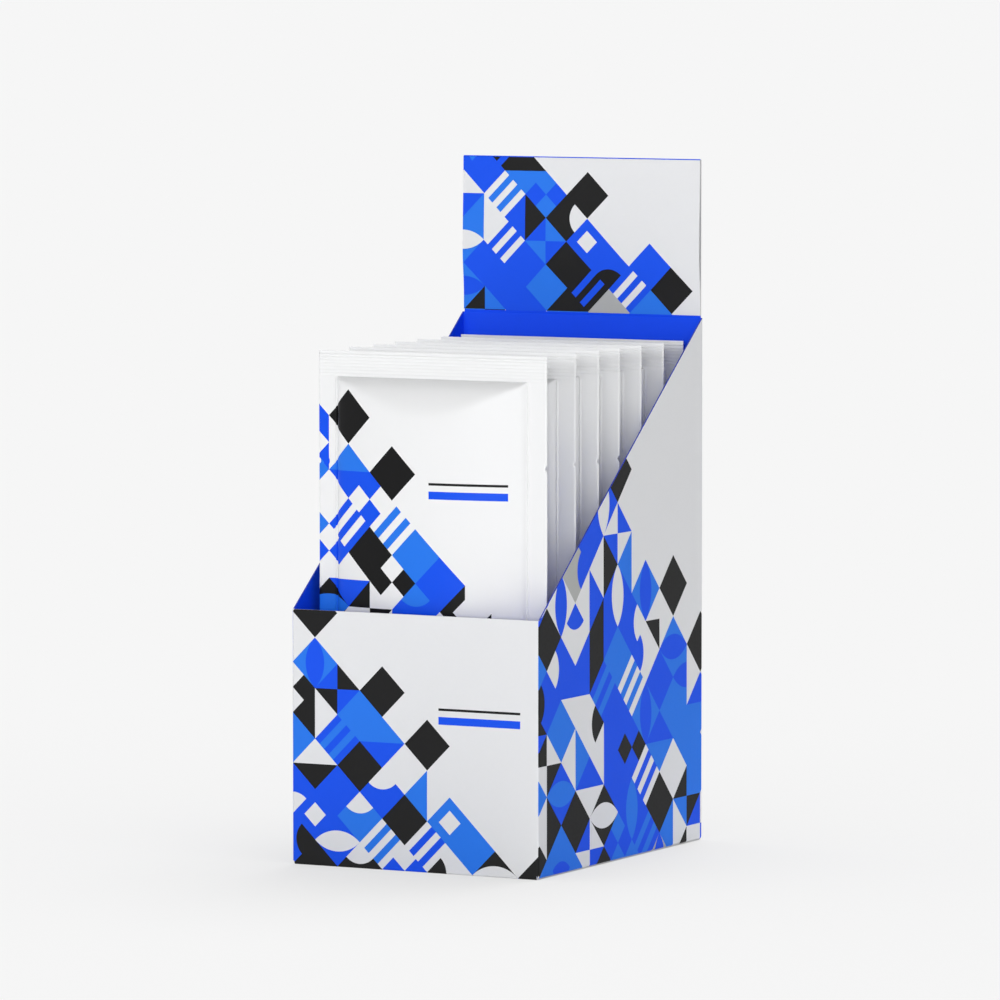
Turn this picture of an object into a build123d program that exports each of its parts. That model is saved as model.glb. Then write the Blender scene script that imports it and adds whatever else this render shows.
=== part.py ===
"""Counter display box of folded paperboard, with a row of sealed sachets standing in it.

Millimetres. +Z is up, the low front panel faces -Y, and the origin is the middle of the base,
on the surface that the box stands on.
"""

import os

from build123d import *

# Paperboard and its folds
board = 0.5
fold_radius = 0.8

# Box, outside
box_width = 100.0
box_depth = 132.0
front_height = 92.5
wall_height = 193.5

# Header, which stands on the back wall and is folded over to two boards
header_height = 58.5
header_inset = 0.7
header_edge_rise = 0.9
header_glue_margin = 6.0
header_bow = 1.0
header_bow_height = 22.0
header_fold_gap = 0.3
crease_radius = 0.15

# Glue tab, inside the front left corner
tab_width = 14.0
tab_chamfer = 4.0
tab_clearance = 2.0

# Base flaps: front and back flaps lock in the middle, side flaps lie on top of them
flap_gap = 0.4
lock_width = 44.0
lock_depth = 14.0
lock_taper = 4.0
side_flap_gap = 1.2
side_flap_taper = 10.0

# Sachets, and the room before, between and behind them, as shares of the depth they leave free
sachet_width = 92.4
sachet_height = 184.4
room_shares = (5.7, 7.6, 3.2, 1.4, 2.7, 3.3, 1.0, 1.1)
seal_thickness = 0.3
side_seal = 7.8
end_seal = 9.3
crimp_count = 8
crimp_depth = 0.15
body_half_depth = 7.5
crown_rise = 0.9
side_shoulder = 9.0
foot_shoulder = 16.0
head_shoulder = 24.0
notch_radius = 1.2
notch_depth = 0.7
notch_below_top = 40.0

# Worked out from the sizes above
foot_height = board + fold_radius
base_top = 2 * board
header_top = wall_height + header_height
header_bottom = wall_height + header_edge_rise
flat_half_width = box_width / 2 - fold_radius
flat_half_depth = box_depth / 2 - fold_radius
inner_back = box_depth / 2 - board
inner_side = box_width / 2 - board
free_depth = 2 * (inner_back - (len(room_shares) - 1) * body_half_depth)


def fold_profile(plane, outer, low):
    """Gives the outline of a wall's lowest stretch, rounded inwards at its foot.

    outer is the wall's outside face and low the underside of its flap.
    """
    inner_radius = fold_radius - board
    foot = (outer - fold_radius, low)
    wall = (outer, low + fold_radius)
    with BuildSketch(plane) as outline:
        with BuildLine():
            under = RadiusArc(foot, wall, -fold_radius)
            rise = Line(under @ 1, (outer, base_top + fold_radius))
            top = Line(rise @ 1, (outer - board, base_top + fold_radius))
            drop = Line(top @ 1, (outer - board, low + fold_radius))
            inside = RadiusArc(drop @ 1, (outer - fold_radius, low + board), inner_radius)
            Line(inside @ 1, foot)
        make_face()
    return outline.sketch


with BuildPart() as carton:
    # The four walls are one strip, bent round the corners
    with BuildSketch(Plane.XY.offset(foot_height)):
        RectangleRounded(box_width, box_depth, fold_radius)
        RectangleRounded(2 * inner_side, 2 * inner_back, fold_radius - board, mode=Mode.SUBTRACT)
    extrude(amount=wall_height - foot_height)

    # Straight sloping edges run from the front panel's top up to the back wall
    with BuildSketch(Plane.YZ):
        with BuildLine():
            Polyline(
                (-box_depth, front_height),
                (-flat_half_depth, front_height),
                (inner_back, wall_height),
                (inner_back, 2 * wall_height),
                (-box_depth, 2 * wall_height),
                close=True,
            )
        make_face()
    extrude(amount=box_width, both=True, mode=Mode.SUBTRACT)

    # Header: up the back, over a tight fold, and down in front with a slight bow to a glued margin
    fold_outer = board + header_fold_gap / 2
    bow_z = header_bottom + header_bow_height
    glue_z = header_bottom + header_glue_margin
    fold_z = header_top - fold_outer
    back_y = box_depth / 2
    with BuildSketch(Plane.YZ):
        with BuildLine():
            back_face = Line((back_y, wall_height), (back_y, fold_z))
            over = ThreePointArc(
                back_face @ 1, (back_y - fold_outer, header_top), (back_y - 2 * fold_outer, fold_z)
            )
            front_face = Spline(
                over @ 1,
                (inner_back - board - header_bow, bow_z),
                (inner_back - board, glue_z),
                tangents=[(0, -1), (0, -1)],
            )
            margin = Line(front_face @ 1, (inner_back - board, header_bottom))
            edge = Line(margin @ 1, (inner_back, header_bottom))
            below = Line(edge @ 1, (inner_back, wall_height))
            Line(below @ 1, back_face @ 0)
        make_face()
        with BuildLine():
            rear_ply = Line((inner_back, glue_z), (inner_back, fold_z))
            inside_fold = ThreePointArc(
                rear_ply @ 1,
                (inner_back - header_fold_gap / 2, header_top - board),
                (inner_back - header_fold_gap, fold_z),
            )
            Spline(
                inside_fold @ 1,
                (inner_back - header_bow, bow_z),
                rear_ply @ 0,
                tangents=[(0, -1), (0, -1)],
            )
        make_face(mode=Mode.SUBTRACT)
    extrude(amount=box_width / 2 - header_inset, both=True)

    # Score line that lets the header stand up straight on the back wall
    with BuildSketch(Plane.YZ):
        with Locations((inner_back, wall_height)):
            Circle(crease_radius)
    extrude(amount=inner_side, both=True, mode=Mode.SUBTRACT)

    # Front and back walls turn in at the foot, and side walls one board higher
    for front_or_back in (Plane.YZ, Plane.YZ.rotated((0, 0, 180))):
        extrude(fold_profile(front_or_back, box_depth / 2, 0), amount=flat_half_width, both=True)
    for side in (Plane.XZ, Plane.XZ.rotated((0, 0, 180))):
        extrude(fold_profile(side, box_width / 2, board), amount=flat_half_depth, both=True)

    # Outer base flaps: the back flap's tongue fills the recess in the front flap
    half_lock = lock_width / 2
    with BuildSketch(Plane.XY):
        with Locations((0, -flat_half_depth / 2)):
            Rectangle(2 * flat_half_width, flat_half_depth)
        with BuildLine():
            Polyline(
                (-half_lock, 0),
                (-half_lock + lock_taper, -lock_depth),
                (half_lock - lock_taper, -lock_depth),
                (half_lock, 0),
                close=True,
            )
        make_face(mode=Mode.SUBTRACT)
    extrude(amount=board)
    with BuildSketch(Plane.XY):
        with BuildLine():
            Polyline(
                (-flat_half_width, flat_half_depth),
                (-flat_half_width, flap_gap),
                (-half_lock + flap_gap, flap_gap),
                (-half_lock + lock_taper + flap_gap, -lock_depth + flap_gap),
                (half_lock - lock_taper - flap_gap, -lock_depth + flap_gap),
                (half_lock - flap_gap, flap_gap),
                (flat_half_width, flap_gap),
                (flat_half_width, flat_half_depth),
                close=True,
            )
        make_face()
    extrude(amount=board)

    # Side flaps, glued down on the outer ones
    for side in (-1, 1):
        with BuildSketch(Plane.XY.offset(board)):
            with BuildLine():
                Polyline(
                    (side * flat_half_width, -flat_half_depth),
                    (side * side_flap_gap / 2, -flat_half_depth + side_flap_taper),
                    (side * side_flap_gap / 2, flat_half_depth - side_flap_taper),
                    (side * flat_half_width, flat_half_depth),
                    close=True,
                )
            make_face()
        extrude(amount=board)

    # Glue tab, turned back from the front panel on to the left wall
    with BuildSketch(Plane.YZ.offset(-inner_side)):
        with BuildLine():
            Polyline(
                (-inner_back, base_top + tab_clearance),
                (-inner_back + tab_width, base_top + tab_clearance + tab_chamfer),
                (-inner_back + tab_width, front_height - tab_clearance - tab_chamfer),
                (-inner_back, front_height - tab_clearance),
                close=True,
            )
        make_face()
    extrude(amount=board)

carton.part.label = "carton"


def end_seal_outline(seat_y, low, high):
    """Gives the side outline of a crimped end seal: one corrugated sheet, ridge above ridge."""
    steps = 2 * crimp_count
    half = seal_thickness / 2
    ridge = [
        (seat_y + crimp_depth * (i % 2) - half, low + (high - low) * i / steps)
        for i in range(steps + 1)
    ]
    with BuildSketch(Plane.YZ) as outline:
        with BuildLine():
            Polyline(*ridge, *[(y + seal_thickness, z) for y, z in reversed(ridge)], close=True)
        make_face()
    return outline.sketch


def make_sachet(seat_y):
    """One sachet whose sealed rim stands in the plane y = seat_y.

    The filled body is its plan outline carried up the sachet and kept inside its side outline,
    so creases run in from the four corners of the seals.
    """
    foot = base_top
    head = base_top + sachet_height
    body_low = foot + end_seal
    body_high = head - end_seal
    body_half_width = sachet_width / 2 - side_seal
    shoulder_depth = body_half_depth - crown_rise
    with BuildPart() as sachet:
        with BuildSketch(Plane((0, seat_y, body_low))):
            with BuildLine():
                crown = ThreePointArc(
                    (side_shoulder - body_half_width, shoulder_depth),
                    (0, body_half_depth),
                    (body_half_width - side_shoulder, shoulder_depth),
                )
                TangentArc(crown @ 1, (body_half_width, 0), tangent=crown % 1)
                TangentArc(crown @ 0, (-body_half_width, 0), tangent=-(crown % 0))
                mirror(about=Plane.XZ)
            make_face()
        extrude(amount=body_high - body_low)
        with BuildSketch(Plane((0, seat_y, 0), x_dir=(0, 1, 0), z_dir=(1, 0, 0))):
            with BuildLine():
                crown = ThreePointArc(
                    (shoulder_depth, body_low + foot_shoulder),
                    (body_half_depth, (body_low + foot_shoulder + body_high - head_shoulder) / 2),
                    (shoulder_depth, body_high - head_shoulder),
                )
                TangentArc(crown @ 1, (0, body_high), tangent=crown % 1)
                TangentArc(crown @ 0, (0, body_low), tangent=-(crown % 0))
                mirror(about=Plane.YZ)
            make_face()
        extrude(amount=sachet_width, both=True, mode=Mode.INTERSECT)
        # Rim, flat between the two crimped ends
        with BuildSketch(Plane((0, seat_y, (foot + head) / 2), x_dir=(1, 0, 0), z_dir=(0, -1, 0))):
            Rectangle(sachet_width, body_high - body_low)
        extrude(amount=seal_thickness / 2, both=True)
        for low, high in ((foot, body_low), (body_high, head)):
            extrude(end_seal_outline(seat_y, low, high), amount=sachet_width / 2, both=True)
        # Tear notches in both edges
        with BuildSketch(Plane((0, seat_y, head - notch_below_top), x_dir=(1, 0, 0), z_dir=(0, -1, 0))):
            with Locations(
                (-sachet_width / 2 - notch_radius + notch_depth, 0),
                (sachet_width / 2 + notch_radius - notch_depth, 0),
            ):
                Circle(notch_radius)
        extrude(amount=seal_thickness, both=True, mode=Mode.SUBTRACT)
    return sachet.part


os.makedirs("parts", exist_ok=True)
export_step(carton.part, "parts/carton.step")
seat = -inner_back - body_half_depth
for number, share in enumerate(room_shares[:-1], start=1):
    seat += 2 * body_half_depth + free_depth * share / sum(room_shares)
    filled = make_sachet(seat)
    filled.label = f"sachet_{number}"
    export_step(filled, f"parts/sachet_{number}.step")
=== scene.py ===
"""Looks of the counter display box: a printed, folded carton and the seven glossy sachets in it."""
import math

import bpy
import numpy as np
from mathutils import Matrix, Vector


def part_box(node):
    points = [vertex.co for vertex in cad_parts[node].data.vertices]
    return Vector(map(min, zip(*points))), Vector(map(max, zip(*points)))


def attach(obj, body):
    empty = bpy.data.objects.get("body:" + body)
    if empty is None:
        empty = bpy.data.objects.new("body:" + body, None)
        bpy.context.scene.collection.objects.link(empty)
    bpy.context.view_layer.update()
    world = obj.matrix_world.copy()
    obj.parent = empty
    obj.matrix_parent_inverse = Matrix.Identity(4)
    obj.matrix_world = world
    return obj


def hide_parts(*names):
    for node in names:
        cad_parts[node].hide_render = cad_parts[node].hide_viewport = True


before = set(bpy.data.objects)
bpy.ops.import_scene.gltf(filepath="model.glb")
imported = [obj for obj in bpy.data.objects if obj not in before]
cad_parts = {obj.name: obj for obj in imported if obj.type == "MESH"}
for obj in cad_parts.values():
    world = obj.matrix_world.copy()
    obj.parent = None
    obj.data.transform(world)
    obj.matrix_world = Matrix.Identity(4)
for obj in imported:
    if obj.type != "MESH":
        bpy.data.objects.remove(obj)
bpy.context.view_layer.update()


# Camera. The box was seen from right of its front and a little above, from far away through a
# long lens, so its upright edges stay upright and the floor fills the whole background.
view_azimuth = math.radians(27.62)
view_elevation = math.radians(4.55)
view_distance = 2.759
aim_aside = 0.00006
aim_height = 0.12904
aim = Vector((math.cos(view_azimuth) * aim_aside, math.sin(view_azimuth) * aim_aside, aim_height))


def towards(azimuth, elevation):
    """The unit vector that points this far round from the front, to the right, and this far up."""
    return Vector((
        math.sin(azimuth) * math.cos(elevation),
        -math.cos(azimuth) * math.cos(elevation),
        math.sin(elevation),
    ))


towards_camera = towards(view_azimuth, view_elevation)
camera_data = bpy.data.cameras.new("camera")
camera_data.sensor_width = 36.0
camera_data.lens = 272.5
camera_data.clip_end = 200.0
camera = bpy.data.objects.new("camera", camera_data)
camera.location = aim + towards_camera * view_distance
camera.rotation_euler = towards_camera.to_track_quat("Z", "Y").to_euler()
bpy.context.collection.objects.link(camera)
bpy.context.scene.camera = camera


# Carton. One blank of half-millimetre coated board, printed outside, plain blue inside, die-cut,
# scored and folded: four walls, a doubled header over the back one, and a base of four flaps.
# The walls are joined by a glue tab, the header by a glued margin and the base by its own lock.
board = 0.5
fold_radius = 0.8
box_width = 100.0
box_depth = 132.0
front_height = 92.5
wall_height = 193.5
front_bow = 0.25
side_bow = 0.30
score_depth = 0.12
score_half_width = 0.15
foot_height = board + fold_radius
lock_half_width = 22.0
lock_depth = 14.0
lock_taper = 4.0
flap_gap = 0.4
side_flap_end = 0.6
side_flap_taper = 10.0
white_coat = (0.79, 0.797, 0.81)
royal_blue = (0.006, 0.086, 0.85)
mid_blue = (0.020, 0.190, 0.84)
print_black = (0.008, 0.008, 0.0083)
tile_grey = (0.45, 0.46, 0.45)


def smooth_step(value):
    """3 v^2 - 2 v^3 of a value held between 0 and 1: level at both ends."""
    held = np.clip(value, 0, 1)
    return held * held * (3 - 2 * held)


def spaced(*stretches):
    """Places in rising order. Each stretch gives its first place, its last and its steps."""
    places = [np.linspace(first, last, steps + 1) for first, last, steps in stretches]
    return np.unique(np.round(np.concatenate(places), 5))


def two_faced(name, sheets, materials, sharp_angle):
    """Makes one closed piece of sheets that have an outer and an inner face.

    A sheet is a grid of outer points, one of inner points, and one of print places for each face.
    Points that sheets share become one. Every edge that only one outer face has is a cut edge, and
    is closed by a face between the outer and the inner point at each of its ends. Outer faces take
    the first material, inner ones the second and cut edges the last.
    """
    outer, inner, quads, outer_print, inner_print = [], [], [], [], []
    start = 0
    for outside, inside, print_out, print_in in sheets:
        rows, columns = outside.shape[:2]
        first = np.arange((rows - 1) * columns).reshape(rows - 1, columns)[:, :-1].ravel()
        cells = np.stack([first, first + 1, first + 1 + columns, first + columns], axis=1)
        outer.append(outside.reshape(-1, 3))
        inner.append(inside.reshape(-1, 3))
        outer_print.append(print_out.reshape(-1, 3)[cells])
        inner_print.append(print_in.reshape(-1, 3)[cells])
        quads.append(cells + start)
        start += rows * columns
    outer, inner, quads = np.concatenate(outer), np.concatenate(inner), np.concatenate(quads)
    _, keep, place = np.unique(np.round(outer, 3), axis=0, return_index=True, return_inverse=True)
    outer, inner, quads = outer[keep], inner[keep], place.ravel()[quads]
    count = len(outer)
    ahead = np.stack([quads, np.roll(quads, -1, axis=1)], axis=-1).reshape(-1, 2)
    free = ~np.isin(ahead[:, 0] * count + ahead[:, 1], ahead[:, 1] * count + ahead[:, 0])
    a, b = ahead[free].T
    rim = np.stack([b, a, a + count, b + count], axis=1)
    outer_print = np.concatenate(outer_print)
    inner_print = np.concatenate(inner_print)[:, ::-1]
    a_print = outer_print.reshape(-1, 3)[free]
    b_print = np.roll(outer_print, -1, axis=1).reshape(-1, 3)[free]
    rim_print = np.stack([b_print, a_print, a_print, b_print], axis=1)
    faces = np.concatenate([quads, quads[:, ::-1] + count, rim])
    prints = np.concatenate([outer_print, inner_print, rim_print])
    mesh = bpy.data.meshes.new(name)
    mesh.from_pydata((np.concatenate([outer, inner]) * 0.001).tolist(), [], faces.tolist())
    print_places = mesh.attributes.new("print", "FLOAT_VECTOR", "CORNER")
    print_places.data.foreach_set("vector", prints.ravel())
    for material in materials:
        mesh.materials.append(material)
    kinds = np.repeat(np.arange(3), (len(quads), len(quads), len(rim)))
    kinds = np.minimum(kinds, len(materials) - 1).astype(np.int32)
    mesh.polygons.foreach_set("material_index", kinds)
    mesh.polygons.foreach_set("use_smooth", np.ones(len(faces), dtype=bool))
    mesh.set_sharp_from_angle(angle=sharp_angle)
    piece = bpy.data.objects.new(name, mesh)
    bpy.context.collection.objects.link(piece)
    return piece


class Wire:
    """A value on its way through a material's nodes. Sums, products and comparisons add nodes."""

    def __init__(self, tree, socket=None):
        self.tree = tree
        self.socket = socket

    def node(self, kind, values=(), output=0, stops=None, **settings):
        """Adds one node: its settings and ramp stops, then the values or wires of its sockets."""
        made = self.tree.nodes.new("ShaderNode" + kind)
        for setting, value in settings.items():
            setattr(made, setting, value)
        if stops:
            ramp = made.color_ramp
            ramp.interpolation = "CONSTANT"
            while len(ramp.elements) < len(stops):
                ramp.elements.new(0.5)
            for element, (place, _) in zip(ramp.elements, stops):
                element.position = place
            for element, (_, colour) in zip(ramp.elements, stops):
                element.color = (*colour, 1.0)
        for socket, value in dict(values).items():
            if isinstance(value, Wire):
                self.tree.links.new(value.socket, made.inputs[socket])
            else:
                made.inputs[socket].default_value = value
        return Wire(self.tree, made.outputs[output])

    def maths(self, operation, *others):
        """A Math node on this value and the others, in that order."""
        return self.node("Math", enumerate((self, *others)), operation=operation)

    def __add__(self, other):
        return self.maths("ADD", other)

    def __mul__(self, other):
        return self.maths("MULTIPLY", other)

    def __sub__(self, other):
        return self.maths("SUBTRACT", other)

    def __rsub__(self, other):
        return self.node("Math", enumerate((other, self)), operation="SUBTRACT")

    def __lt__(self, other):
        return self.maths("LESS_THAN", other)

    def __gt__(self, other):
        return self.maths("GREATER_THAN", other)

    def __abs__(self):
        return self.maths("ABSOLUTE")

    __radd__ = __add__
    __rmul__ = __mul__

    def mixed(self, first, second, blend="MIX"):
        """The first colour where this value is 0, and blended with the second where it is 1."""
        return self.node("Mix", {0: self, 6: first, 7: second}, output=2, data_type="RGBA",
                         blend_type=blend)

    def noise(self, scale, detail):
        """Smooth noise at this place."""
        return self.node("TexNoise", {"Vector": self, "Scale": scale, "Detail": detail})

    def parts(self):
        """The three numbers of a vector or colour."""
        outputs = self.node("SeparateXYZ", {0: self}).socket.node.outputs
        return [Wire(self.tree, outputs[i]) for i in range(3)]


def new_material(name):
    """A material with only its shader, a wire to start its nodes from, and one with the place."""
    material = bpy.data.materials.new(name)
    material.use_nodes = True
    wires = Wire(material.node_tree)
    shader = material.node_tree.nodes["Principled BSDF"]
    return material, shader, wires, wires.node("TexCoord", output="Object")


def link(wire, shader, socket):
    """Ends a wire in one of the shader's sockets."""
    wire.tree.links.new(wire.socket, shader.inputs[socket])


def raise_surface(shader, height, strength, distance):
    """Gives the shader's surface the relief of a height."""
    bump = height.node("Bump", {"Strength": strength, "Distance": distance, "Height": height},
                       output="Normal")
    link(bump, shader, "Normal")


def mosaic(wires, white):
    """The print: a mosaic of tiles that stand on their corners, in two blues, black and white.

    The first two numbers of the print place count tiles along their two directions, and the third
    is the panel's own number. The tiles fill the panel where the first is below 0, some of the last
    row only by half, a few single tiles stand beyond, and the rest stays white. Noise on the tile's
    own number picks its turn, its motif and its pair of colours. Every other tile is kept from a
    black ground, so that black tiles touch only at their corners.
    """
    black_from, grey_from = 0.72, 0.97
    stone_half, bars_to_tile, fan_radius = 0.24, 2.5, 0.6
    single_from, half_below = 0.77, 0.24
    place = wires.node("Attribute", output="Vector", attribute_name="print")
    along, across, panel = place.parts()
    row, column = along.maths("FLOOR"), across.maths("FLOOR")
    tile = wires.node("CombineXYZ", {0: row, 1: column, 2: (panel + 0.5).maths("FLOOR")})
    chance = wires.node("TexWhiteNoise", {"Vector": tile}, output="Color", noise_dimensions="3D")
    turn, pick, pair = chance.parts()
    odd = ((row + column) * 0.5).maths("FRACT") > 0.25
    pair = pair * (1 - odd * (1 - black_from))
    p, q = along - row, across - column
    p = abs(p - (turn > 0.5))
    q = abs(q - (abs(turn - 0.5) > 0.25))
    p_mid, q_mid = abs(p - 0.5), abs(q - 0.5)
    p_far, q_far = 1 - p, 1 - q

    triangle = (p + q) < 1
    leaf = ((p * p + q_far * q_far) < 1) * ((p_far * p_far + q * q) < 1)
    stone = p_mid.maths("MAXIMUM", q_mid) < stone_half
    check = ((p - 0.5) * (q - 0.5)) < 0
    bow_tie = p_mid > q_mid
    bars = (q * bars_to_tile).maths("FRACT") < 0.5
    fan = (p * p + q * q) < fan_radius ** 2
    chances = ((triangle, 0.0, 0.15), (leaf, 0.15, 0.27), (stone, 0.27, 0.33), (check, 0.33, 0.41),
               (bow_tie, 0.41, 0.48), (bars, 0.48, 0.59), (fan, 0.59, 0.69))
    figure = sum(motif * (pick > low) * (pick < high) for motif, low, high in chances)

    grounds = wires.node("ValToRGB", {0: pair}, stops=(
        (0.0, royal_blue), (0.36, mid_blue), (0.56, white), (black_from, print_black),
        (grey_from, tile_grey)))
    figures = wires.node("ValToRGB", {0: pair}, stops=(
        (0.0, white), (0.16, mid_blue), (0.26, print_black), (0.36, white), (0.47, royal_blue),
        (0.66, print_black), (black_from, white), (0.84, mid_blue), (grey_from, royal_blue)))
    tiles = figure.mixed(grounds, figures)

    single = (row > -0.5) * (row < 0.5) * (turn > single_from)
    edge = (row < -0.5) * (row > -1.5) * (turn < half_below)
    single_colour = (pair > black_from).mixed((*print_black, 1), (*royal_blue, 1))
    filled = (row < -0.5) * (1 - edge * (1 - triangle))
    printed = filled.mixed((*white, 1), tiles)
    return single.mixed(printed, single_colour)


def ruled(ink, x, z, middle, height, half_length, where):
    """The ink with a thin black rule at this height, and a thick blue one 4 mm below it.

    Both have this middle and half length along x, and are printed only where the last value is 1.
    """
    thin_half, thick_half, apart = 0.00045, 0.0014, 0.0040
    within = abs(x - middle) < half_length
    thin_rule = within * (abs(z - height) < thin_half) * where
    thick_rule = within * (abs(z - (height - apart)) < thick_half) * where
    return thick_rule.mixed(thin_rule.mixed(ink, (*print_black, 1)), (*royal_blue, 1))


# Coated board, printed: satin ink over a smooth white coat, with the faint fibre mottle of board.
# A thin line of the inner blue shows along the header's top fold.
printed_board, shader, wires, object_place = new_material("printed_board")
board_rules = (0.0262, 0.0590, 0.0165)
front_only = -0.0655
fold_line_z = 0.25163
mottle_tint = (0.97, 0.97, 0.975, 1)
ink = mosaic(wires, white_coat)
x, y, z = object_place.parts()
ink = ruled(ink, x, z, *board_rules, y < front_only)
ink = (z > fold_line_z).mixed(ink, (*royal_blue, 1))
mottle = object_place.noise(900.0, 3.0)
cloud = object_place.noise(26.0, 2.0)
link((mottle * 0.6 + cloud * 0.4).mixed(ink, mottle_tint, "MULTIPLY"), shader, "Base Color")
link(0.54 + mottle * 0.10 + cloud * 0.06, shader, "Roughness")
raise_surface(shader, mottle, 0.12, 0.00008)
shader.inputs["Specular IOR Level"].default_value = 0.16

# Inner side of the board: one flat blue ink on rougher stock, which stops short of the inside of
# the doubled header
inner_board, shader, wires, object_place = new_material("inner_board")
inner_blues = (0.003, 0.066, 0.86, 1), (0.005, 0.080, 0.94, 1)
bare_board = (0.55, 0.55, 0.57, 1)
header_inside_z = 0.1945
fibre = object_place.noise(1400.0, 4.0)
cloud = object_place.noise(40.0, 2.0)
flat_blue = (fibre * 0.5 + cloud * 0.5).mixed(*inner_blues)
inside_header = object_place.parts()[2] > header_inside_z
link(inside_header.mixed(flat_blue, bare_board), shader, "Base Color")
link(0.52 + fibre * 0.14, shader, "Roughness")
raise_surface(shader, fibre, 0.2, 0.0001)
shader.inputs["Specular IOR Level"].default_value = 0.15

# Cut edges show the grey-white core of the board. The sloping cuts get painted shade instead: a
# dark blue that stands for the inner blue in shadow
board_edge, shader, wires, object_place = new_material("board_edge")
core_greys = (0.60, 0.60, 0.61, 1), (0.76, 0.76, 0.76, 1)
painted_shade_blues = (0.010, 0.030, 0.36, 1), (0.018, 0.046, 0.50, 1)
sloping_x, sloping_low, sloping_high = 0.0488, 0.0926, 0.1936
x, y, z = object_place.parts()
fibre = object_place.noise(2600.0, 3.0)
core, painted_shade_blue = fibre.mixed(*core_greys), fibre.mixed(*painted_shade_blues)
# Painted shade: the sloping cut edges take a dark blue, the inner blue as it looks in shadow
sloping = (abs(x) > sloping_x) * (z > sloping_low) * (z < sloping_high)
link(sloping.mixed(core, painted_shade_blue), shader, "Base Color")
link(0.70 + fibre * 0.2, shader, "Roughness")


def print_place(u, z, tile, reach, panel):
    """Print places from millimetres across a panel and up it, and from the panel's design.

    A design is the tiles' diagonal, the reach, and the panel's own number. The mosaic ends on the
    slope where across and up add to the reach.
    """
    number = np.full(u.shape, float(panel))
    return np.stack([(u + z - reach) / tile, (z - u) / tile, number], axis=-1)


# Walls. The print runs on round the right fold on to the back, and starts anew on the left wall.
front_design = (18.3, 92.0, 11)
right_design = (22.5, 193.0, 62)
left_design = (22.5, 193.0, 63)
unprinted_depth = -5.0
flat_half_width = box_width / 2 - fold_radius
flat_half_depth = box_depth / 2 - fold_radius
quarter_turn = np.pi / 2
half_fold = fold_radius * np.pi / 4
wall_rows = spaced((0, 0.01, 2), (0.01, 0.97, 46), (0.97, 0.996, 6), (0.996, 1, 3))


def level_columns(half_width):
    """Places across the flat of a wall, closer at its folds and where the lock's flaps are cut."""
    near_fold = half_width - np.array([0.3, 0.8, 1.6])
    lock_corner = lock_half_width - np.array([0, flap_gap, lock_taper, lock_taper + flap_gap])
    even = np.linspace(-half_width, half_width, 45)
    columns = np.concatenate([even, -near_fold, near_fold, -lock_corner, lock_corner])
    return np.unique(np.round(columns, 5))


def flap_reach(panel, c):
    """How far from the middle of the base a flap's free edge stands, at places along its fold."""
    if panel == "front":
        return lock_depth * np.clip((lock_half_width - abs(c)) / lock_taper, 0, 1)
    if panel == "back":
        tongue = np.clip((lock_half_width - flap_gap - abs(c)) / lock_taper, 0, 1)
        return flap_gap - lock_depth * tongue
    return np.full(c.shape, side_flap_end)


def wall_sheets(panel, normal, half_width, distance, low, bow, places):
    """A wall with half a fold at each side, then its foot and flap.

    Across the wall, c runs level along it and then round the fold, where it turns by c / radius. Up
    the wall, v runs from the foot to the top edge, which is level on the front and slopes straight
    up the sides. The foot is a quarter turn of the same radius, and the flap lies level from it.
    A wall bows inwards by 1 - c^2 across and sin^2 upwards, and the back one is scored at its top
    by a bell exp(-z^2).
    """
    outwards = np.array([*normal, 0.0])
    sideways = np.array([-normal[1], normal[0], 0.0])
    up = np.array([0.0, 0.0, 1.0])
    fold = np.linspace(0, half_fold, 4)[1:]
    flat = level_columns(half_width)
    c = np.concatenate([-half_width - fold[::-1], flat, half_width + fold])
    turn = np.clip(abs(c) - half_width, 0, None) / fold_radius * np.sign(c)
    level = np.clip(c, -half_width, half_width)
    facing = outwards * np.cos(turn)[:, None] + sideways * np.sin(turn)[:, None]
    line = sideways * level[:, None] + outwards * (distance - fold_radius) + facing * fold_radius
    slope = (line[:, 1] + flat_half_depth) / (box_depth / 2 - board + flat_half_depth)
    top = front_height + (wall_height - front_height) * np.clip(slope, 0, 1)
    v = wall_rows[:, None]
    z = foot_height + (top - foot_height) * v
    sag = bow * (1 - (level / half_width) ** 2) * np.sin(v * quarter_turn) ** 2
    outside = line[None] + up * z[..., None] - facing[None] * sag[..., None]
    outside[..., 2] = z
    score = np.exp(-((z - wall_height) / score_half_width) ** 2) * score_depth
    score = score * (panel == "back")
    inside = outside - facing[None] * (board - score)[..., None]
    printed = places(np.broadcast_to(c, z.shape), z)
    sheets = [(outside, inside, printed, printed)]

    # The front and back flaps lie a board lower than the side ones, so under those two walls the
    # foot goes straight down by that much before it turns.
    angle = np.concatenate([[0.0], np.linspace(0, quarter_turn, 6)])
    rise = np.concatenate([[foot_height], low + fold_radius - fold_radius * np.sin(angle[1:])])
    out = distance - fold_radius + fold_radius * np.cos(angle)
    if foot_height - (low + fold_radius) < 0.001:
        angle, rise, out = angle[1:], rise[1:], out[1:]
    angle, rise, out = [row[::-1, None, None] for row in (angle, rise, out)]
    foot = sideways * flat[None, :, None] + outwards * out + up * rise
    tilt = np.broadcast_to(outwards * np.cos(angle) - up * np.sin(angle), foot.shape)
    printed = places(np.broadcast_to(flat, foot.shape[:2]), foot[..., 2])
    sheets.append((foot, foot - tilt * board, printed, printed))

    f = np.linspace(0, 1, 13)[:, None]
    reach = flap_reach(panel, flat)
    away = reach + f * (distance - fold_radius - reach)
    taper = side_flap_taper / half_width if panel in ("left", "right") else 0.0
    along = flat * (1 - taper * (1 - f))
    flap = sideways * along[..., None] + outwards * away[..., None] + up * low
    printed = places(along, np.full(along.shape, unprinted_depth))
    sheets.append((flap, flap + up * board, printed, printed))
    return sheets


# The print is counted across from the front's left edge, from the right wall's front edge and on
# round the back, and from the left wall's front edge.
def front_places(c, z):
    return print_place(c + box_width / 2, z, *front_design)


def right_places(c, z):
    return print_place(c + box_depth / 2, z, *right_design)


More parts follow.
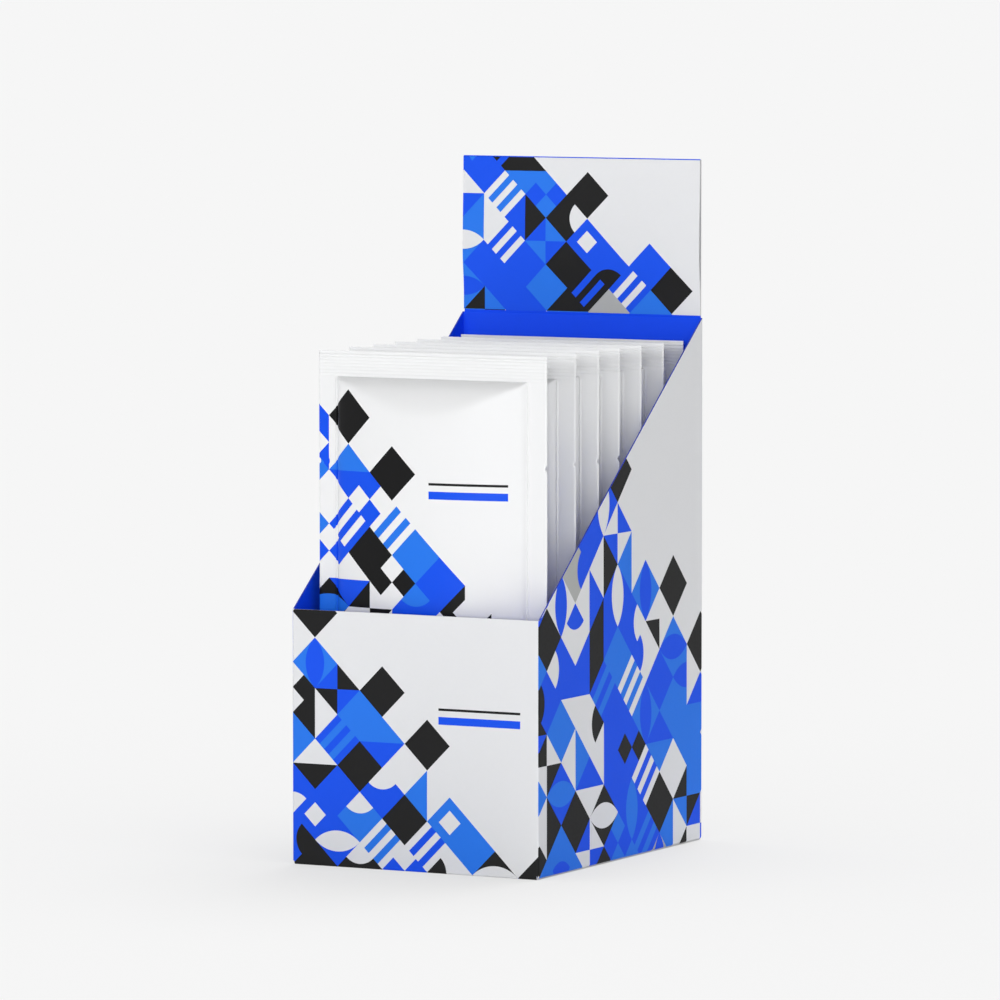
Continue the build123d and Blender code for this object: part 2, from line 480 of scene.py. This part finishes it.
def back_places(c, z):
    return print_place(c + (box_depth + box_width / 2), z, *right_design)


def left_places(c, z):
    return print_place(box_depth / 2 - c, z, *left_design)


carton_sheets = []
for panel, normal, half_width, distance, low, bow, places in (
        ("front", (0, -1), flat_half_width, box_depth / 2, 0.0, front_bow, front_places),
        ("right", (1, 0), flat_half_depth, box_width / 2, board, side_bow, right_places),
        ("back", (0, 1), flat_half_width, box_depth / 2, 0.0, 0.0, back_places),
        ("left", (-1, 0), flat_half_depth, box_width / 2, board, side_bow, left_places)):
    carton_sheets += wall_sheets(panel, normal, half_width, distance, low, bow, places)

# Header. It goes on up from the back wall, over a tight fold and down in front to a glued margin.
# Below the fold its front board swings out, and above the margin it comes in again by a millimetre.
# It is 0.005 mm lower than the solid's, whose round top loses a hair to its facets.
header_height = 58.495
header_fold_radius = 0.65
header_edge_rise = 0.9
header_glue_margin = 6.0
header_bow_height = 22.0
header_swing = 0.7
header_bow = 1.0
header_design = (17.3, 87.0, 24)
fold_z = wall_height + header_height - header_fold_radius
header_bottom = wall_height + header_edge_rise
margin_z = header_bottom + header_glue_margin
bow_z = header_bottom + header_bow_height
rise = wall_height + spaced((0, 0.3, 2), (0.3, 2.0, 3), (2.0, fold_z - wall_height, 22))
over = np.linspace(0, np.pi, 11)[1:-1]
drop = spaced((header_bottom, margin_z, 5), (margin_z, fold_z, 36))[::-1]
back_y = box_depth / 2
over_y = back_y - header_fold_radius + header_fold_radius * np.cos(over)
front_y = back_y - 2 * header_fold_radius
front_y = front_y - header_swing * smooth_step((fold_z - drop) / (fold_z - bow_z))
front_y = front_y + header_bow * smooth_step((bow_z - drop) / (bow_z - margin_z))
path_y = np.concatenate([np.full(rise.shape, back_y), over_y, front_y])
path_z = np.concatenate([rise, fold_z + header_fold_radius * np.sin(over), drop])
step_y, step_z = np.gradient(path_y), np.gradient(path_z)
step_y[[rise.size - 1, -1]] = 0.0  # upright where the fold starts and at the lower edge
length = np.hypot(step_y, step_z)
lean_y, lean_z = step_z / length, -step_y / length
thick = board - score_depth * np.exp(-((path_z - wall_height) / score_half_width) ** 2)
thick[rise.size:] = board
header_columns = level_columns(flat_half_width)
header_c, header_y, header_z = np.broadcast_arrays(
    header_columns, path_y[:, None], path_z[:, None])
outside = np.stack([-header_c, header_y, header_z], axis=-1)
lean = np.stack([0 * lean_y, lean_y, lean_z], axis=-1)[:, None]
inside = outside - lean * thick[:, None, None]
back_print = back_places(header_c, header_z)
face_print = print_place(flat_half_width - header_c, header_z - header_bottom, *header_design)
turned = rise.size + over.size // 2
for rows, printed in ((slice(turned), back_print), (slice(turned - 1, None), face_print)):
    carton_sheets.append((outside[rows], inside[rows], printed[rows], printed[rows]))

# Glue tab: a chamfered strip of the front wall, turned back inside and glued to the left wall
tab_width = 14.0
tab_chamfer = 4.0
tab_clearance = 2.0
tab_glue = 0.02
plain_design = (20.0, -500.0, 5)
u = np.linspace(0, 1, 9)[None, :]
v = np.linspace(0, 1, 25)[:, None]
tab_low = 2 * board + tab_clearance + tab_chamfer * (1 - u)
tab_high = front_height - tab_clearance - tab_chamfer * (1 - u)
tab_z = tab_low + (tab_high - tab_low) * v
tab_y = np.broadcast_to(board - box_depth / 2 + tab_width * (1 - u), tab_z.shape)
tab_x = np.full(tab_z.shape, board - box_width / 2 + tab_glue)
tab = np.stack([tab_x, tab_y, tab_z], axis=-1)
tab_print = print_place(tab_y, tab_z, *plain_design)
carton_sheets.append((tab, tab + np.array([board, 0, 0]), tab_print, tab_print))

carton = two_faced("carton_board", carton_sheets, (printed_board, inner_board, board_edge),
                   sharp_angle=math.radians(40))
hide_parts("carton")
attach(carton, "root")


# Sachets. Seven flat pouches of white glossy film, filled and sealed on all four sides: two plain
# side seals, and a crimped seal at the foot and the head. They stand loose, one behind the other.
sachet_half_width = 46.2
sachet_foot = 1.0
sachet_head = 185.4
side_seal = 7.8
end_seal = 9.3
rim_half = 0.15
full_depth = 7.3
side_step = 1.7
end_step = 2.4
end_step_width = 1.8
end_excess = 0.5
foot_rise = 15.0
head_rise = 16.5
crease_softness = 0.3
bead_rise = 0.54
bead_half_width = 0.36
bead_turn = 1.6
bead_seat = 0.45
bead_at_end_seals = 0.12
drift_depth = 0.12
drift_across = (0.071, 1.7)
drift_upward = (0.043, 2.3)
crimps = 8
crimp_rise = 0.055
crimp_fade = 0.6
deep_crimp_place = 1.7
deep_crimp_width = 0.6
deep_crimp_gain = 2.0
edge_roll = 0.25
edge_roll_width = 0.7
edge_wave = 0.10
wave_upward = (0.055, 1.3)
notch_radius = 1.2
notch_depth = 0.7
notch_z = sachet_head - 40.0
close_in_seal = 1.2
close_in_body = 9.0
close_under_head = 5.0
film_white = (0.864, 0.869, 0.874)
sachet_design = (19.6, 165.0, 46)
sachet_back_design = (19.6, 165.0, 47)


def side_swell(inward):
    """Depth of the filled body at a distance inward from a side seal.

    It takes a short step, of 1 - exp(-d) of side_step, and goes on as a parabola that is level
    in the middle of the sachet.
    """
    inside = np.clip(inward, 0, None)
    crown = 1 - (1 - np.clip(inside / (sachet_half_width - side_seal), 0, 1)) ** 2
    return side_step * (1 - np.exp(-inside)) + (full_depth - side_step) * crown


def end_swell(inward, rise):
    """Depth of the filled body at a distance inward from the foot or head seal.

    After a short step, of 1 - exp(-d / width) of end_step, it is 1 - (1 - d / rise) ^ 1.5 of the
    rest: an almost straight slope that rolls over at its end.
    """
    inside = np.clip(inward, 0, None)
    slope = 1 - (1 - np.clip(inside / rise, 0, 1)) ** 1.5
    step = end_step * (1 - np.exp(-inside / end_step_width))
    return step + (full_depth + end_excess - end_step) * slope


def slow_sine(places, rates, number):
    """A sine that turns by the first rate for a millimetre and by the second for a sachet."""
    return np.sin(places * rates[0] + number * rates[1])


def sachet_sheet(seat, number):
    """A sachet as one sheet with a front and a back face.

    Its half depth is a soft least of the swell from the side seals and the swell from the foot and
    head seals, so creases run in from the corners of the seals. A thin bead of film, exp(-d^2)
    across, follows the side seals and turns in at the corners, and the body drifts by a product of
    two slow sines. Both faces follow the same ripples in the crimped ends, both side edges curl
    back a little, and dip in on a short arc at the tear notches. The grid is closer beside the
    side seals, under the head seal and in the crimped ends.
    """
    half_body = sachet_half_width - side_seal
    body_low = sachet_foot + end_seal
    body_high = sachet_head - end_seal
    rim = spaced((-close_in_seal, 0.4, 14), (0.4, 2, 6), (2, close_in_body, 8))
    middle = spaced((close_in_body - half_body, half_body - close_in_body, 26))[1:-1]
    edge = sachet_half_width - edge_roll_width
    seal = spaced((half_body + close_in_seal, edge, 4), (edge, sachet_half_width, 4))[1:]
    x = np.concatenate([-seal[::-1], rim - half_body, middle, half_body - rim[::-1], seal])
    z = spaced((sachet_foot, body_low, crimps * 6),
               (body_low, body_low + foot_rise, 16),
               (body_low + foot_rise, notch_z - notch_radius, 40),
               (notch_z - notch_radius, notch_z + notch_radius, 12),
               (notch_z + notch_radius, body_high - head_rise, 6),
               (body_high - head_rise, body_high - close_under_head, 18),
               (body_high - close_under_head, body_high, 20),
               (body_high, sachet_head, crimps * 6))
    x, z = np.meshgrid(x, z)
    across = side_swell(half_body - abs(x))
    upward = np.minimum(end_swell(z - body_low, foot_rise), end_swell(body_high - z, head_rise))
    least = np.minimum(across, upward)
    both = np.exp(-across / crease_softness) + np.exp(-upward / crease_softness)
    depth = -crease_softness * np.log(both)
    depth = np.clip(depth + crease_softness * math.log(2) * np.exp(-least), 0, None)
    depth = np.where(least > 0, depth, 0.0)
    past_side = np.clip(abs(x) - half_body + bead_turn, 0, None)
    past_end = np.clip(np.maximum(z - body_high, body_low - z) + bead_turn, 0, None)
    from_bead = np.hypot(past_side, past_end) - bead_turn - bead_seat
    bead = bead_rise * np.exp(-(from_bead / bead_half_width) ** 2)
    share = np.clip(1 - past_end / bead_turn, 0, 1) + bead_at_end_seals
    depth = depth + bead * np.minimum(share, 1)
    drift = slow_sine(x, drift_across, number) * slow_sine(z, drift_upward, number) * drift_depth
    depth = depth + drift * np.clip(least / full_depth, 0, 1) ** 2

    beyond = np.maximum(body_low - z, z - body_high)
    from_deep = (beyond - end_seal + deep_crimp_place) / deep_crimp_width
    swing = crimp_rise * (1 + deep_crimp_gain * np.exp(-from_deep ** 2))
    swing = swing * np.clip((end_seal - beyond) / crimp_fade, 0, 1)
    ripple = np.where(beyond > 0, swing * np.sin(beyond / end_seal * crimps * 2 * np.pi), 0.0)
    notch = np.sqrt(np.clip(notch_radius ** 2 - (z - notch_z) ** 2, 0, None))
    notch = np.clip(notch - (notch_radius - notch_depth), 0, None)
    edgewise = np.clip((abs(x) - half_body) / side_seal, 0, 1)
    x_cut = x - np.sign(x) * notch * edgewise
    wave = edge_wave * slow_sine(z, wave_upward, number) * edgewise ** 2
    wave = wave + edge_roll * np.clip((abs(x) - edge) / edge_roll_width, 0, 1) ** 2
    front = np.stack([x_cut, seat - rim_half - depth + ripple + wave, z], axis=-1)
    back = np.stack([x_cut, seat + rim_half + depth + ripple + wave, z], axis=-1)
    front_print = print_place(x + sachet_half_width, z - sachet_foot, *sachet_design)
    back_print = print_place(sachet_half_width - x, z - sachet_foot, *sachet_back_design)
    return front, back, front_print, back_print


# Film: printed plastic laminate with a clear gloss over the ink and very fine flow in its surface.
# Its front face, whose design has the lower number, also carries the two rules.
film, shader, wires, object_place = new_material("printed_film")
film_rules = (0.0175, 0.1390, 0.0150)
ink = mosaic(wires, film_white)
x, y, z = object_place.parts()
panel = wires.node("Attribute", output="Vector", attribute_name="print").parts()[2]
ink = ruled(ink, x, z, *film_rules, panel < sachet_design[2] + 0.5)
flow = object_place.noise(34.0, 2.0)
grain = object_place.noise(420.0, 2.0)
link(ink, shader, "Base Color")
link(0.20 + flow * 0.08 + grain * 0.03, shader, "Roughness")
raise_surface(shader, flow, 0.35, 0.0003)
shader.inputs["Specular IOR Level"].default_value = 0.11

for number in range(1, 8):
    node = f"sachet_{number}"
    low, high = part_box(node)
    seat = (low[1] + high[1]) / 2 * 1000
    sachet = two_faced(f"{node}_film", [sachet_sheet(seat, number)], (film,),
                       sharp_angle=math.radians(35))
    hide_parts(node)
    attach(sachet, "root")


# Floor and light: one wide white studio floor, a sky that is bright low down and dim overhead, two
# broad lamps low in front, one at the side, and a high one whose light the floor throws back up.
# The background is an even white of its own, which darkens only where the box hides the floor.
floor_half = 60
floor_white = 0.92
floor_lit = 0.12
floor_own = 0.812
shadow_depth = 0.29
shadow_reach = 0.45
low_sky_light = 0.40
high_sky_light = 0.04
backdrop_white = 0.92
# A lamp's azimuth from the front, its elevation and its width are in degrees
lamps = (("front_left", -6, 7, 20, 0.96), ("front_right", 22, 7, 24, 0.86),
         ("side", 64, 30, 40, 0.40), ("high", 180, 59, 36, 2.9))


def background_rays(wires):
    """1 for the rays that show the background: seen, off gloss or through clear things."""
    paths = wires.node("LightPath").socket.node.outputs
    camera_ray, glossy_ray, clear_ray = [
        Wire(wires.tree, paths[f"Is {kind} Ray"]) for kind in ("Camera", "Glossy", "Transmission")]
    return camera_ray.maths("MAXIMUM", glossy_ray).maths("MAXIMUM", clear_ray)


floor_mesh = bpy.data.meshes.new("floor")
floor_mesh.from_pydata([(-floor_half, -floor_half, 0), (floor_half, -floor_half, 0),
                        (floor_half, floor_half, 0), (-floor_half, floor_half, 0)],
                       [], [(0, 1, 2, 3)])
floor = bpy.data.objects.new("floor", floor_mesh)
bpy.context.collection.objects.link(floor)
floor_material = bpy.data.materials.new("studio_floor")
floor_material.use_nodes = True
floor_nodes = floor_material.node_tree.nodes
floor_nodes.remove(floor_nodes["Principled BSDF"])
wires = Wire(floor_material.node_tree)
openness = wires.node("AmbientOcclusion", {"Distance": shadow_reach}, output="AO", samples=16)
own_white = openness.mixed((*[1 - shadow_depth] * 3, 1), (1, 1, 1, 1))
lit = wires.node("BsdfDiffuse", {"Color": (*[floor_white] * 3, 1)})
dimmed = wires.node("BsdfDiffuse", {"Color": (*[floor_white * floor_lit] * 3, 1)})
own = wires.node("Emission", {"Color": own_white, "Strength": floor_own})
shown = wires.node("AddShader", {0: dimmed, 1: own})
surface = wires.node("MixShader", {0: background_rays(wires), 1: lit, 2: shown})
link(surface, floor_nodes["Material Output"], "Surface")
floor_mesh.materials.append(floor_material)

world = bpy.data.worlds.new("studio")
world.use_nodes = True
wires = Wire(world.node_tree)
height = wires.node("TexCoord", output="Generated").parts()[2]
low_sky = (1 - height).maths("MAXIMUM", 0).maths("POWER", 4)
seen = background_rays(wires)
glow = (low_sky * low_sky_light + high_sky_light) * (1 - seen) + seen * backdrop_white
sky = world.node_tree.nodes["Background"]
sky.inputs["Color"].default_value = (1.0, 1.0, 1.0, 1)
link(glow, sky, "Strength")
bpy.context.scene.world = world

for name, azimuth, elevation, width, strength in lamps:
    lamp_data = bpy.data.lights.new(name, "SUN")
    lamp_data.energy = strength
    lamp_data.angle = math.radians(width)
    lamp = bpy.data.objects.new(name, lamp_data)
    towards_lamp = towards(math.radians(azimuth), math.radians(elevation))
    lamp.rotation_euler = towards_lamp.to_track_quat("Z", "Y").to_euler()
    bpy.context.collection.objects.link(lamp)

bpy.context.scene.view_settings.view_transform = "Standard"

bpy.context.view_layer.update()
